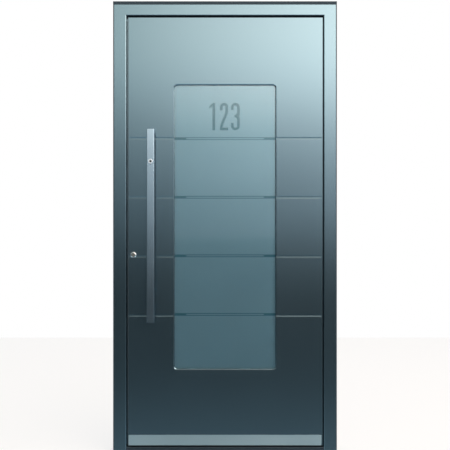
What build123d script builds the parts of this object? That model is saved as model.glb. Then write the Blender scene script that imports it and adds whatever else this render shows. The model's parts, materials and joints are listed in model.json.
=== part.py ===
from build123d import *
import os

# Aluminium entrance door with a glass insert and its frame, in millimetres.
# X runs along the door, Y points indoors, Z is up. The origin is the middle of the threshold's underside.
# A jamb, head, stile or rail section is drawn in u, the distance from the frame's outer edge, and Y.

# Shared clearances
cut_overrun = 1.0
fit_clearance = 0.3
pin_clearance = 0.05
lock_clearance = 0.5

# Frame profile
profile_width = 1090.0
profile_height = 2202.0
profile_depth = 90.0
section_wall = 2.0
frame_face = 60.0
frame_outer_depth = 35.0
frame_inner_face = 40.0
frame_inner_depth = 31.0
frame_arris_radius = 5.0
bar_thickness = 2.5
bar_inset = 4.0
stop_bulb_width = 9.0
stop_bulb_inset = 7.0
stop_bulb_wall = 1.2
side_strip_width = 5.0
head_strip_height = 10.0
head_lip_height = 3.5
head_lip_depth = 1.2
strip_setback = 2.0
strip_depth = 30.0
fixing_radius = 4.0
fixing_count = 4
fixing_low_z = 200.0
fixing_top_drop = 202.0

# Grooves that take the lock and its strikes
groove_width = 24.0
groove_lip = 3.0
frame_groove_depth = 10.0
leaf_groove_depth = 12.0

# Threshold
threshold_height = 20.0
threshold_wall = 2.5
threshold_nose_radius = 3.0
threshold_line_height = 4.0
threshold_line_depth = 3.0
threshold_line_z = 13.0
threshold_rib_count = 3
threshold_rib_width = 3.0
threshold_rib_depth = 1.0

# Leaf profile
leaf_gap = 10.0
edge_gap = 5.0
stop_gap = 6.0
leaf_reach = 70.0
leaf_flange = 18.0
leaf_flange_depth = 16.0
leaf_outer_depth = 17.0
leaf_outer_setback = 2.0
rail_clearance = 8.0
bottom_seal_width = 12.0
bottom_seal_lip = 4.0

# Skins and their four V-lines
outer_skin_thickness = 4.0
inner_skin_thickness = 2.0
line_count = 4
line_pitch = 290.5
line_width = 12.0
line_depth = 2.5
kick_plate_height = 51.0
kick_plate_thickness = 1.5
kick_plate_inset = 1.0

# Glass insert
glass_width = 496.0
glass_low_z = 405.0
glass_top_drop = 401.0
glass_corner = 15.0
glass_cover = 15.0
glass_bevel_width = 5.0
glass_bevel_depth = 2.2
outer_pane_thickness = 8.0
middle_pane_thickness = 4.0
inner_pane_thickness = 6.0
pane_cavity = 14.0
pane_corner = 4.0
pane_room = 2.0
spacer_width = 9.0
spacer_inset = 3.0
glass_gasket_thickness = 3.0
glass_gasket_width = 10.0
trim_wall = 3.0
trim_flange = 26.0
trim_thickness = 3.0

# Bar handle
handle_width = 35.0
handle_depth = 25.0
handle_length = 937.0
handle_wall = 2.5
handle_edge_radius = 2.0
handle_standoff = 50.0
handle_inset = 114.5
handle_middle_z = 1109.0
handle_cap_thickness = 4.0
handle_plug_depth = 10.0
post_inset = 152.5
post_radius = 10.0
post_foot_radius = 14.0
post_foot_height = 4.0
post_stud_radius = 4.0
post_stud_length = 24.0

# Finger scanner in the bar
scanner_drop = 156.0
scanner_radius = 11.0
scanner_body_radius = 9.0
scanner_lip = 1.2
scanner_depth = 6.0
scanner_eye_radius = 5.5
scanner_eye_depth = 3.5
scanner_eye_recess = 0.6
light_drop = 15.5
light_radius = 1.8
light_proud = 0.4

# Lock cylinder
backset = 50.0
cylinder_z = 966.0
cylinder_radius = 8.5
cylinder_leg_width = 10.0
cylinder_leg_drop = 24.5
cylinder_nose = 8.0
cylinder_tail = 6.0
plug_radius = 6.5
plug_recess = 1.0
keyway_width = 2.4
keyway_height = 8.5
keyway_depth = 14.0
cam_width = 9.0
cam_slot_width = 10.0
cam_reach = 15.0
cam_nose_width = 7.0
cam_bridge = 8.0
outer_rosette_radius = 15.5
outer_rosette_height = 9.0
outer_rosette_rim = 2.0
outer_rosette_land = 1.2
inner_rosette_radius = 27.5
inner_rosette_height = 5.0
rosette_edge = 1.2
thumb_neck = 4.0
thumb_length = 16.0
thumb_width = 30.0
thumb_thickness = 12.0
thumb_corner_radius = 4.0

# Lever
lever_rise = 92.0
lever_rosette_radius = 27.5
lever_rosette_height = 8.0
lever_neck_radius = 9.5
lever_reach = 56.0
lever_grip_length = 132.0
lever_grip_height = 20.0
lever_grip_depth = 13.0
lever_grip_radius = 4.0
lever_grip_edge = 1.5
spindle_width = 8.0
spindle_socket_depth = 16.0
spindle_hole_radius = 6.5
hub_radius = 10.0

# Lock
faceplate_thickness = 3.0
faceplate_margin = 20.0
case_thickness = 18.0
case_wall = 1.5
case_back = 17.0
case_below = 46.0
case_above = 68.0
rod_notch_height = 26.0
rod_notch_depth = 5.0
rod_width = 16.0
rod_thickness = 3.0
rod_stroke = 20.0
rod_overlap = 4.0
latch_rise = 12.0
latch_height = 28.0
latch_thickness = 10.0
latch_throw = 12.0
latch_tail = 25.0
bolt_rise = 39.0
bolt_height = 34.0
bolt_thickness = 10.0
bolt_throw = 20.0
bolt_held = 15.0
bolt_setback = 0.5
hook_top_drop = 502.0
hook_lower_z = 330.0
hook_pivot_depth = 17.0
hook_pin_radius = 4.0
hook_boss_radius = 9.0
hook_arm_length = 38.0
hook_arm_width = 10.0
hook_nose = 5.0
hook_nose_height = 9.0
hook_thickness = 8.0
hook_case_back = 14.0
hook_room = 3.0
strike_thickness = 3.0
strike_margin = 18.0
strike_room = 1.0

# Hinges
hinge_end_inset = 250.0
hinge_axis_lift = 12.5
hinge_knuckle_radius = 11.0
hinge_knuckle_length = 52.0
hinge_bearing_gap = 0.3
hinge_pin_radius = 5.0
hinge_wing_width = 34.0
hinge_wing_thickness = 4.0
hinge_wing_radius = 5.0
hinge_cap_radius = 7.0
hinge_cap_height = 3.0

# Levels through the depth
outer_y = -profile_depth / 2
inner_y = profile_depth / 2
frame_outer_back = outer_y + frame_outer_depth
frame_inner_front = inner_y - frame_inner_depth
groove_high = inner_y - groove_lip
groove_low = groove_high - groove_width
lock_y = (groove_low + groove_high) / 2
skin_back = outer_y + outer_skin_thickness
leaf_outer_back = skin_back + leaf_outer_depth
leaf_inner_front = frame_outer_back + stop_gap
flange_front = inner_y - leaf_flange_depth
core_back = flange_front - inner_skin_thickness
outer_pane_front = skin_back + glass_gasket_thickness
middle_pane_front = outer_pane_front + outer_pane_thickness + pane_cavity
inner_pane_front = middle_pane_front + middle_pane_thickness + pane_cavity
inner_pane_back = inner_pane_front + inner_pane_thickness
trim_front = inner_pane_back + glass_gasket_thickness

# Distances in from the frame's outer edge
half_width = profile_width / 2
frame_groove_floor = frame_inner_face - frame_groove_depth
leaf_edge = frame_inner_face + edge_gap
leaf_groove_floor = leaf_edge + leaf_groove_depth
leaf_inside = leaf_edge + leaf_reach
skin_edge = frame_face + leaf_gap
leaf_outer_edge = skin_edge + leaf_outer_setback
case_front = leaf_edge + faceplate_thickness
lock_axis = leaf_edge + backset
hook_pivot = leaf_edge + hook_pivot_depth

# Places across and up the door
skin_half = half_width - skin_edge
skin_low = threshold_height + leaf_gap
skin_high = profile_height - skin_edge
rail_low = threshold_height + rail_clearance
core_half = half_width - leaf_inside
core_low = rail_low + leaf_reach
core_high = profile_height - leaf_inside
glass_height = profile_height - glass_top_drop - glass_low_z
glass_middle_z = glass_low_z + glass_height / 2
lock_x = lock_axis - half_width
lever_z = cylinder_z + lever_rise
latch_z = lever_z + latch_rise
bolt_z = cylinder_z + bolt_rise
case_low = cylinder_z - case_below
case_high = lever_z + case_above
bolt_length = bolt_throw + bolt_held
hook_upper_z = profile_height - hook_top_drop
hook_zs = (hook_lower_z, hook_upper_z)
hook_sweep = hook_arm_length + hook_nose + hook_room
hook_head = hook_boss_radius + hook_room
hook_case_drop = hook_sweep + case_wall + rod_notch_height
hook_case_rise = hook_head + case_wall + rod_notch_height
handle_x = handle_inset - skin_half
post_spacing = handle_length - 2 * post_inset
scanner_z = handle_middle_z + handle_length / 2 - scanner_drop
handle_back = outer_y - handle_standoff
handle_front = handle_back - handle_depth
hinge_x = half_width - frame_inner_face - edge_gap / 2
hinge_y = inner_y + hinge_axis_lift
hinge_zs = (hinge_end_inset, profile_height / 2, profile_height - hinge_end_inset)
fixing_pitch = (profile_height - fixing_top_drop - fixing_low_z) / (fixing_count - 1)
fixing_zs = [fixing_low_z + fixing_pitch * count for count in range(fixing_count)]


def polygon(*points):
    return make_face(Polyline(*points, close=True))


def rectangle(low_a, high_a, low_b, high_b):
    return Pos((low_a + high_a) / 2, (low_b + high_b) / 2) * Rectangle(high_a - low_a, high_b - low_b)


def block(low_x, high_x, low_y, high_y, low_z, high_z):
    middle = Pos((low_x + high_x) / 2, (low_y + high_y) / 2, (low_z + high_z) / 2)
    return middle * Box(high_x - low_x, high_y - low_y, high_z - low_z)


def slab(sketch, low_y, high_y):
    # A shape drawn as seen from outside, X across and Z up, made solid between two depths
    seen = Plane((0, low_y, 0), x_dir=(1, 0, 0), z_dir=(0, -1, 0))
    return extrude(seen * sketch, high_y - low_y, dir=(0, 1, 0))


def rod(x, z, radius, low_y, high_y):
    return slab(Pos(x, z) * Circle(radius), low_y, high_y)


def upright(x, y, radius, low_z, high_z):
    return Pos(x, y, (low_z + high_z) / 2) * Cylinder(radius, high_z - low_z)


def lock_side(low_u, high_u, low_y, high_y, low_z, high_z):
    return block(low_u - half_width, high_u - half_width, low_y, high_y, low_z, high_z)


def corner_plane(side):
    # The 45 degree cut through a top corner, its normal towards the jamb
    return Plane((side * half_width, 0, profile_height), z_dir=(side, 0, -1))


def side_bar(section, side, low_z):
    # A jamb or stile, mitred at its top: side is -1 at the lock and 1 at the hinges
    base = Plane((side * half_width, 0, low_z), x_dir=(-side, 0, 0), z_dir=(0, 0, -side))
    bar = extrude(base * section, profile_height - low_z, dir=(0, 0, 1))
    return split(bar, corner_plane(side), Keep.TOP)


def top_bar(section):
    # A head or top rail, mitred at both ends
    base = Plane((0, 0, profile_height), x_dir=(0, 0, -1), z_dir=(1, 0, 0))
    bar = extrude(base * section, half_width, both=True)
    for side in (-1, 1):
        bar = split(bar, corner_plane(side), Keep.BOTTOM)
    return bar


def bottom_bar(section, low_z, half_length):
    # A rail that butts between the stiles; its section is drawn upwards from low_z
    base = Plane((0, 0, low_z), x_dir=(0, 0, 1), z_dir=(-1, 0, 0))
    return extrude(base * section, half_length, both=True)


# Frame
def frame_outer_section():
    outside = rectangle(0, frame_face, outer_y, frame_outer_back)
    arris = outside.vertices().sort_by(Axis.X)[-2:].sort_by(Axis.Y)[0]
    outside = fillet(arris, frame_arris_radius)
    chamber = rectangle(
        section_wall, frame_face - section_wall, outer_y + section_wall, frame_outer_back - section_wall
    )
    inner_arris = chamber.vertices().sort_by(Axis.X)[-2:].sort_by(Axis.Y)[0]
    return outside - fillet(inner_arris, frame_arris_radius - section_wall)


def frame_inner_section():
    outside = polygon(
        (0, frame_inner_front),
        (frame_inner_face, frame_inner_front),
        (frame_inner_face, groove_low),
        (frame_groove_floor, groove_low),
        (frame_groove_floor, groove_high),
        (frame_inner_face, groove_high),
        (frame_inner_face, inner_y),
        (0, inner_y),
    )
    chamber = rectangle(
        section_wall,
        frame_groove_floor - section_wall,
        frame_inner_front + section_wall,
        inner_y - section_wall,
    )
    return outside - chamber


def bar_sections(low_u, high_u, low_y, high_y):
    first = low_u + bar_inset
    last = high_u - bar_inset
    return [
        rectangle(first, first + bar_thickness, low_y, high_y),
        rectangle(last - bar_thickness, last, low_y, high_y),
    ]


def stop_gasket_section():
    # A hollow rubber bulb on the back of the frame's outer shell
    low = frame_face - stop_bulb_inset - stop_bulb_width / 2
    high = low + stop_bulb_width
    crown = leaf_inner_front - fit_clearance
    middle = (low + high) / 2
    base = Line((low, frame_outer_back), (high, frame_outer_back))
    dome = ThreePointArc((high, frame_outer_back), (middle, crown), (low, frame_outer_back))
    bulb = make_face(base + dome)
    bore_low = frame_outer_back + stop_bulb_wall
    bore_radius = (crown - frame_outer_back) / 2 - stop_bulb_wall
    return bulb - Pos(middle, bore_low + bore_radius) * Circle(bore_radius)


def fixing_holes(side):
    outside = side * (half_width + cut_overrun)
    inside = side * (half_width - frame_groove_floor - cut_overrun)
    length = abs(outside - inside)
    middle = (outside + inside) / 2
    return [Pos(middle, lock_y, z) * Rot(0, 90, 0) * Cylinder(fixing_radius, length) for z in fixing_zs]


def jamb_pockets():
    # Openings in the lock jamb's groove floor, for the dead bolt and the two hooks
    low = frame_groove_floor - section_wall - cut_overrun
    high = frame_groove_floor + cut_overrun
    bolt_half = bolt_thickness / 2 + strike_room
    bolt_rise_half = bolt_height / 2 + strike_room
    pockets = [lock_side(low, high, lock_y - bolt_half, lock_y + bolt_half,
                         bolt_z - bolt_rise_half, bolt_z + bolt_rise_half)]
    hook_half = hook_thickness / 2 + strike_room
    for z in hook_zs:
        pockets.append(lock_side(low, high, lock_y - hook_half, lock_y + hook_half,
                                 z - hook_sweep, z + hook_head))
    return pockets


def threshold_outer():
    half_length = half_width - frame_face
    outside = rectangle(0, threshold_height, outer_y, frame_outer_back)
    nose = outside.vertices().sort_by(Axis.X)[-2:].sort_by(Axis.Y)[0]
    outside = fillet(nose, threshold_nose_radius)
    line_low = threshold_line_z - threshold_line_height / 2
    outside -= rectangle(line_low, line_low + threshold_line_height,
                         outer_y - cut_overrun, outer_y + threshold_line_depth)
    rib_pitch = frame_outer_depth / (threshold_rib_count + 1)
    for count in range(threshold_rib_count):
        middle = outer_y + rib_pitch * (count + 1)
        outside -= rectangle(threshold_height - threshold_rib_depth, threshold_height + cut_overrun,
                             middle - threshold_rib_width / 2, middle + threshold_rib_width / 2)
    front = outer_y + threshold_line_depth + threshold_wall
    top = threshold_height - threshold_rib_depth - threshold_wall
    outside -= rectangle(threshold_wall, top, front, frame_outer_back - threshold_wall)
    return bottom_bar(outside, 0, half_length)


def threshold_inner():
    half_length = half_width - frame_inner_face
    outside = rectangle(0, threshold_height, frame_inner_front, inner_y)
    chamber = rectangle(threshold_wall, threshold_height - threshold_wall,
                        frame_inner_front + threshold_wall, inner_y - threshold_wall)
    return bottom_bar(outside - chamber, 0, half_length)


def threshold_bar():
    half_length = half_width - frame_inner_face
    solid = rectangle(0, threshold_height, frame_outer_back, frame_inner_front)
    chamber = rectangle(threshold_wall, threshold_height - threshold_wall,
                        frame_outer_back + threshold_wall, frame_inner_front - threshold_wall)
    return bottom_bar(solid - chamber, 0, half_length)


def wall_strips():
    front = outer_y + strip_setback
    back = front + strip_depth
    edge = half_width + side_strip_width
    lip_front = outer_y - head_lip_depth
    head = block(-edge, edge, lip_front, back, profile_height, profile_height + head_strip_height)
    head += block(-edge, edge, lip_front, outer_y, profile_height - head_lip_height, profile_height)
    left = block(-edge, -half_width, front, back, 0, profile_height)
    right = block(half_width, edge, front, back, 0, profile_height)
    return [head, left, right]


def main_strike():
    low_u = frame_inner_face - strike_thickness
    plate = lock_side(low_u, frame_inner_face, groove_low, groove_high,
                      bolt_z - bolt_height / 2 - strike_margin, latch_z + latch_height / 2 + strike_margin)
    openings = ((latch_z, latch_height, latch_thickness), (bolt_z, bolt_height, bolt_thickness))
    for z, height, thickness in openings:
        half_y = thickness / 2 + strike_room
        half_z = height / 2 + strike_room
        plate -= lock_side(low_u - cut_overrun, frame_inner_face + cut_overrun,
                           lock_y - half_y, lock_y + half_y, z - half_z, z + half_z)
    return plate


def hook_strike(z):
    low_u = frame_inner_face - strike_thickness
    half_y = hook_thickness / 2 + strike_room
    plate = lock_side(low_u, frame_inner_face, groove_low, groove_high,
                      z - hook_sweep - strike_margin, z + hook_head + strike_margin)
    plate -= lock_side(low_u - cut_overrun, frame_inner_face + cut_overrun, lock_y - half_y, lock_y + half_y,
                       z - hook_sweep, z + hook_boss_radius)
    return plate


# Leaf
def leaf_outer_section():
    outside = rectangle(leaf_outer_edge, leaf_inside, skin_back, leaf_outer_back)
    chamber = rectangle(leaf_outer_edge + section_wall, leaf_inside - section_wall,
                        skin_back + section_wall, leaf_outer_back - section_wall)
    return outside - chamber


def leaf_inner_section():
    far = leaf_inside + leaf_flange
    outside = polygon(
        (leaf_edge, leaf_inner_front),
        (leaf_inside, leaf_inner_front),
        (leaf_inside, flange_front),
        (far, flange_front),
        (far, inner_y),
        (leaf_edge, inner_y),
        (leaf_edge, groove_high),
        (leaf_groove_floor, groove_high),
        (leaf_groove_floor, groove_low),
        (leaf_edge, groove_low),
    )
    main_chamber = polygon(
        (leaf_groove_floor + section_wall, leaf_inner_front + section_wall),
        (leaf_inside - section_wall, leaf_inner_front + section_wall),
        (leaf_inside - section_wall, flange_front + section_wall),
        (far - section_wall, flange_front + section_wall),
        (far - section_wall, inner_y - section_wall),
        (leaf_groove_floor + section_wall, inner_y - section_wall),
    )
    edge_chamber = rectangle(leaf_edge + section_wall, leaf_groove_floor,
                             leaf_inner_front + section_wall, groove_low - section_wall)
    return outside - main_chamber - edge_chamber


def euro_profile(room):
    # The cylinder's outline: a round barrel with a leg below it
    leg = rectangle(lock_x - cylinder_leg_width / 2 - room, lock_x + cylinder_leg_width / 2 + room,
                    cylinder_z - cylinder_leg_drop - room, cylinder_z)
    return Pos(lock_x, cylinder_z) * Circle(cylinder_radius + room) + leg


def case_pockets():
    # Openings in the lock stile's groove floor, where the lock cases pass
    half_y = case_thickness / 2 + lock_clearance
    low = leaf_groove_floor - cut_overrun
    high = leaf_groove_floor + section_wall + cut_overrun
    spans = [(case_low, case_high)]
    spans += [(z - hook_case_drop, z + hook_case_rise) for z in hook_zs]
    return [
        lock_side(low, high, lock_y - half_y, lock_y + half_y, bottom - lock_clearance, top + lock_clearance)
        for bottom, top in spans
    ]


def lock_stile_inner():
    stile = side_bar(leaf_inner_section(), -1, rail_low)
    for pocket in case_pockets():
        stile -= pocket
    stile -= slab(euro_profile(fit_clearance), leaf_inner_front - cut_overrun, inner_y + cut_overrun)
    stile -= rod(lock_x, lever_z, lever_neck_radius, groove_high, inner_y + cut_overrun)
    return stile


def lock_stile_outer():
    stile = side_bar(leaf_outer_section(), -1, rail_low)
    return stile - slab(euro_profile(fit_clearance), skin_back - cut_overrun, leaf_outer_back + cut_overrun)


def bottom_rail_inner():
    far = leaf_reach + leaf_flange
    outside = polygon(
        (0, leaf_inner_front),
        (leaf_reach, leaf_inner_front),
        (leaf_reach, flange_front),
        (far, flange_front),
        (far, inner_y),
        (0, inner_y),
    )
    chamber = polygon(
        (section_wall, leaf_inner_front + section_wall),
        (leaf_reach - section_wall, leaf_inner_front + section_wall),
        (leaf_reach - section_wall, flange_front + section_wall),
        (far - section_wall, flange_front + section_wall),
        (far - section_wall, inner_y - section_wall),
        (section_wall, inner_y - section_wall),
    )
    rail = bottom_bar(outside - chamber, rail_low, core_half)
    for side in (-1, 1):
        ends = sorted((side * core_half, side * (core_half - leaf_flange)))
        rail -= block(ends[0], ends[1], flange_front, inner_y + cut_overrun, 0, core_high)
    return rail


def bottom_rail_outer():
    low = skin_low + leaf_outer_setback - rail_low
    outside = rectangle(low, leaf_reach, skin_back, leaf_outer_back)
    chamber = rectangle(low + section_wall, leaf_reach - section_wall,
                        skin_back + section_wall, leaf_outer_back - section_wall)
    return bottom_bar(outside - chamber, rail_low, core_half)


def leaf_bars():
    sections = bar_sections(leaf_outer_edge, leaf_inside, leaf_outer_back, leaf_inner_front)
    bars = []
    for section in sections:
        bars += [side_bar(section, -1, rail_low), side_bar(section, 1, rail_low), top_bar(section)]
    bars[0] -= slab(euro_profile(fit_clearance), leaf_outer_back, leaf_inner_front)
    bars[3] -= slab(euro_profile(fit_clearance), leaf_outer_back, leaf_inner_front)
    low = skin_low + leaf_outer_setback - rail_low
    for section in bar_sections(low, leaf_reach, leaf_outer_back, leaf_inner_front):
        bars.append(bottom_bar(section, rail_low, core_half))
    return bars


def glass_shape(grow, radius):
    return Pos(0, glass_middle_z) * RectangleRounded(glass_width + 2 * grow, glass_height + 2 * grow, radius)


def outer_skin():
    skin = block(-skin_half, skin_half, outer_y, skin_back, skin_low, skin_high)
    skin -= slab(glass_shape(0, glass_corner), outer_y - cut_overrun, skin_back + cut_overrun)
    seen = Plane((0, outer_y, 0), x_dir=(1, 0, 0), z_dir=(0, -1, 0))
    sunk = Plane((0, outer_y + glass_bevel_depth, 0), x_dir=(1, 0, 0), z_dir=(0, -1, 0))
    wide = seen * glass_shape(glass_bevel_width, glass_corner + glass_bevel_width)
    narrow = sunk * glass_shape(0, glass_corner)
    skin -= loft([wide, narrow])
    end = Plane((-skin_half - cut_overrun, 0, 0), x_dir=(0, 1, 0), z_dir=(1, 0, 0))
    for count in range(line_count):
        z = glass_middle_z + line_pitch * (count - (line_count - 1) / 2)
        vee = polygon((outer_y, z - line_width / 2), (outer_y + line_depth, z), (outer_y, z + line_width / 2))
        skin -= extrude(end * vee, 2 * (skin_half + cut_overrun), dir=(1, 0, 0))
    skin -= rod(lock_x, cylinder_z, cylinder_radius + fit_clearance,
                outer_y - cut_overrun, skin_back + cut_overrun)
    for end_sign in (-1, 1):
        z = handle_middle_z + end_sign * post_spacing / 2
        skin -= rod(handle_x, z, post_stud_radius + fit_clearance,
                    outer_y - cut_overrun, skin_back + cut_overrun)
    return skin


def pane_window():
    return glass_shape(glass_cover + pane_room, pane_corner + pane_room)


def insulation_core():
    core = block(-core_half, core_half, skin_back, core_back, core_low, core_high)
    core -= slab(pane_window(), skin_back - cut_overrun, core_back + cut_overrun)
    for end_sign in (-1, 1):
        z = handle_middle_z + end_sign * post_spacing / 2
        core -= rod(handle_x, z, post_stud_radius + fit_clearance, skin_back - cut_overrun,
                    outer_y + post_stud_length + cut_overrun)
    return core


def inner_skin():
    skin = block(-core_half, core_half, core_back, flange_front, core_low, core_high)
    return skin - slab(pane_window(), core_back - cut_overrun, flange_front + cut_overrun)


def pane(front, thickness):
    return slab(glass_shape(glass_cover, pane_corner), front, front + thickness)


def spacer(front):
    outside = glass_shape(glass_cover - spacer_inset, pane_corner)
    inside = glass_shape(glass_cover - spacer_inset - spacer_width, pane_corner)
    return slab(outside - inside, front, front + pane_cavity)


def glass_gasket(front):
    outside = glass_shape(glass_cover - spacer_inset, pane_corner)
    inside = glass_shape(glass_cover - spacer_inset - glass_gasket_width, glass_corner)
    return slab(outside - inside, front, front + glass_gasket_thickness)


def inner_trim():
    opening = glass_shape(0, glass_corner)
    leg = slab(glass_shape(trim_wall, glass_corner + trim_wall) - opening, trim_front, flange_front)
    foot = slab(glass_shape(glass_cover - spacer_inset, pane_corner) - opening,
                trim_front, trim_front + trim_wall)
    flange = slab(glass_shape(trim_flange, glass_corner) - opening,
                  flange_front, flange_front + trim_thickness)
    return leg + foot + flange


def kick_plate():
    half = skin_half - kick_plate_inset
    return block(-half, half, outer_y - kick_plate_thickness, outer_y, skin_low, skin_low + kick_plate_height)


def bottom_seal():
    # A rubber strip under the bottom rail, with a lip that wipes the threshold
    half = half_width - leaf_edge
    low = threshold_height + fit_clearance
    section = rectangle(0, bottom_seal_width, (low + rail_low) / 2, rail_low)
    section += rectangle(0, bottom_seal_lip, low, rail_low)
    section += rectangle(bottom_seal_width - bottom_seal_lip, bottom_seal_width, low, rail_low)
    end = Plane((-half, frame_inner_front, 0), x_dir=(0, 1, 0), z_dir=(1, 0, 0))
    return extrude(end * section, 2 * half, dir=(1, 0, 0))


# Bar handle and finger scanner
def handle_section(shrink, radius):
    return RectangleRounded(handle_width - 2 * shrink, handle_depth - 2 * shrink, radius)


def handle_bar():
    low = handle_middle_z - handle_length / 2 + handle_cap_thickness
    section = handle_section(0, handle_edge_radius) - handle_section(handle_wall, handle_edge_radius / 2)
    middle_y = (handle_back + handle_front) / 2
    bar = extrude(Pos(handle_x, middle_y, low) * section, handle_length - 2 * handle_cap_thickness)
    bar -= rod(handle_x, scanner_z, scanner_body_radius + fit_clearance,
               handle_front - cut_overrun, handle_front + handle_wall + cut_overrun)
    bar -= rod(handle_x, scanner_z - light_drop, light_radius + pin_clearance,
               handle_front - cut_overrun, handle_front + handle_wall + cut_overrun)
    return bar


def handle_cap(end_sign):
    middle_y = (handle_back + handle_front) / 2
    tip = handle_middle_z + end_sign * handle_length / 2
    seat = tip - end_sign * handle_cap_thickness
    up = (0, 0, end_sign)
    plate = extrude(Pos(handle_x, middle_y, seat) * handle_section(0, handle_edge_radius),
                    handle_cap_thickness, dir=up)
    plug = handle_section(handle_wall + fit_clearance, handle_edge_radius / 2)
    down = (0, 0, -end_sign)
    return plate + extrude(Pos(handle_x, middle_y, seat) * plug, handle_plug_depth, dir=down)


def handle_post(end_sign):
    z = handle_middle_z + end_sign * post_spacing / 2
    post = rod(handle_x, z, post_radius, handle_back, outer_y)
    foot = rod(handle_x, z, post_foot_radius, outer_y - post_foot_height, outer_y)
    stud = rod(handle_x, z, post_stud_radius, outer_y, outer_y + post_stud_length)
    return post + foot + stud


def scanner_bezel():
    front = handle_front - scanner_lip
    bezel = rod(handle_x, scanner_z, scanner_radius, front, handle_front)
    bezel = chamfer(bezel.edges().group_by(Axis.Y)[0], scanner_lip / 2)
    bezel += rod(handle_x, scanner_z, scanner_body_radius, handle_front, handle_front + scanner_depth)
    return bezel - rod(handle_x, scanner_z, scanner_eye_radius,
                       front - cut_overrun, front + scanner_eye_depth)


def scanner_eye():
    back = handle_front - scanner_lip + scanner_eye_depth
    front = handle_front - scanner_lip + scanner_eye_recess
    return rod(handle_x, scanner_z, scanner_eye_radius - pin_clearance, front, back)


def status_light():
    return rod(handle_x, scanner_z - light_drop, light_radius,
               handle_front - light_proud, handle_front + handle_wall)


# Cylinder and its rosettes
def revolved(outline, x, z, base_y, outward):
    # An outline in radius and height, turned about an axis through the door
    axis_plane = Plane((x, base_y, z), x_dir=(1, 0, 0), z_dir=(0, 0, outward))
    turned = axis_plane * outline
    return revolve(turned, Axis((x, base_y, z), (0, 1, 0)))


def outer_rosette():
    bore = cylinder_radius + fit_clearance
    crown = bore + outer_rosette_land
    foot = Line((bore, 0), (outer_rosette_radius, 0))
    side = Line((outer_rosette_radius, 0), (outer_rosette_radius, outer_rosette_rim))
    rise = outer_rosette_height - outer_rosette_rim
    dome = EllipticalCenterArc((crown, outer_rosette_rim), outer_rosette_radius - crown, rise, 0, arc_size=90)
    land = Line((crown, outer_rosette_height), (bore, outer_rosette_height))
    inner = Line((bore, outer_rosette_height), (bore, 0))
    return revolved(make_face(foot + side + dome + land + inner), lock_x, cylinder_z, outer_y, -1)


def inner_rosette():
    plate = rod(lock_x, cylinder_z, inner_rosette_radius, inner_y, inner_y + inner_rosette_height)
    plate = chamfer(plate.edges().group_by(Axis.Y)[-1], rosette_edge)
    return plate - slab(euro_profile(fit_clearance),
                        inner_y - cut_overrun, inner_y + inner_rosette_height + cut_overrun)


def cylinder_body():
    nose = rod(lock_x, cylinder_z, cylinder_radius, outer_y - cylinder_nose, skin_back)
    body = nose + slab(euro_profile(0), skin_back, inner_y + cylinder_tail)
    body -= rod(lock_x, cylinder_z, plug_radius + pin_clearance,
                outer_y - cylinder_nose - cut_overrun, inner_y + cylinder_tail + cut_overrun)
    bridge = cylinder_z - cylinder_leg_drop + cam_bridge
    body -= block(lock_x - cam_reach, lock_x + cam_reach,
                  lock_y - cam_slot_width / 2, lock_y + cam_slot_width / 2,
                  bridge, cylinder_z + cam_reach)
    return body


def key_plug():
    front = outer_y - cylinder_nose + plug_recess
    plug = rod(lock_x, cylinder_z, plug_radius, front, lock_y - cam_slot_width / 2)
    return plug - block(lock_x - keyway_width / 2, lock_x + keyway_width / 2,
                        front - cut_overrun, front + keyway_depth,
                        cylinder_z - keyway_height / 2, cylinder_z + keyway_height / 2)


def thumb_turn():
    # The inside turning grip, its shaft and the cam that works the lock
    cam_half = cam_width / 2
    shaft = rod(lock_x, cylinder_z, plug_radius, lock_y - cam_half, inner_y + cylinder_tail + thumb_neck)
    ring = rod(lock_x, cylinder_z, cylinder_radius, lock_y - cam_half, lock_y + cam_half)
    nose = block(lock_x - cam_nose_width / 2, lock_x + cam_nose_width / 2,
                 lock_y - cam_half, lock_y + cam_half,
                 cylinder_z, cylinder_z + cam_reach - lock_clearance)
    low_y = inner_y + cylinder_tail + thumb_neck
    outline = Pos(lock_x, cylinder_z) * RectangleRounded(thumb_thickness, thumb_width, thumb_corner_radius)
    grip = slab(outline, low_y, low_y + thumb_length)
    grip = chamfer(grip.edges().group_by(Axis.Y)[-1], rosette_edge)
    return shaft + ring + nose + grip


# Lever
def lever_rosette():
    plate = rod(lock_x, lever_z, lever_rosette_radius, inner_y, inner_y + lever_rosette_height)
    plate = chamfer(plate.edges().group_by(Axis.Y)[-1], rosette_edge)
    return plate - rod(lock_x, lever_z, lever_neck_radius + fit_clearance,
                       inner_y - cut_overrun, inner_y + lever_rosette_height + cut_overrun)


def lever_handle():
    grip_back = inner_y + lever_reach
    grip_middle = grip_back - lever_grip_depth / 2
    neck = rod(lock_x, lever_z, lever_neck_radius, inner_y + fit_clearance, grip_middle)
    end = Plane((lock_x - lever_neck_radius, grip_middle, lever_z), x_dir=(0, 1, 0), z_dir=(1, 0, 0))
    grip_face = RectangleRounded(lever_grip_depth, lever_grip_height, lever_grip_radius)
    grip = extrude(end * grip_face, lever_grip_length)
    grip = chamfer(grip.edges().group_by(Axis.X)[-1] + grip.edges().group_by(Axis.X)[0], lever_grip_edge)
    lever = neck + grip
    half = spindle_width / 2
    return lever - block(lock_x - half, lock_x + half, inner_y - cut_overrun, inner_y + spindle_socket_depth,
                         lever_z - half, lever_z + half)


def lever_spindle():
    half = spindle_width / 2
    hub_half = case_thickness / 2 - case_wall - fit_clearance
    bar = block(lock_x - half, lock_x + half, lock_y - hub_half, inner_y + spindle_socket_depth,
                lever_z - half, lever_z + half)
    return bar + rod(lock_x, lever_z, hub_radius, lock_y - hub_half, lock_y + hub_half)


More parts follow.
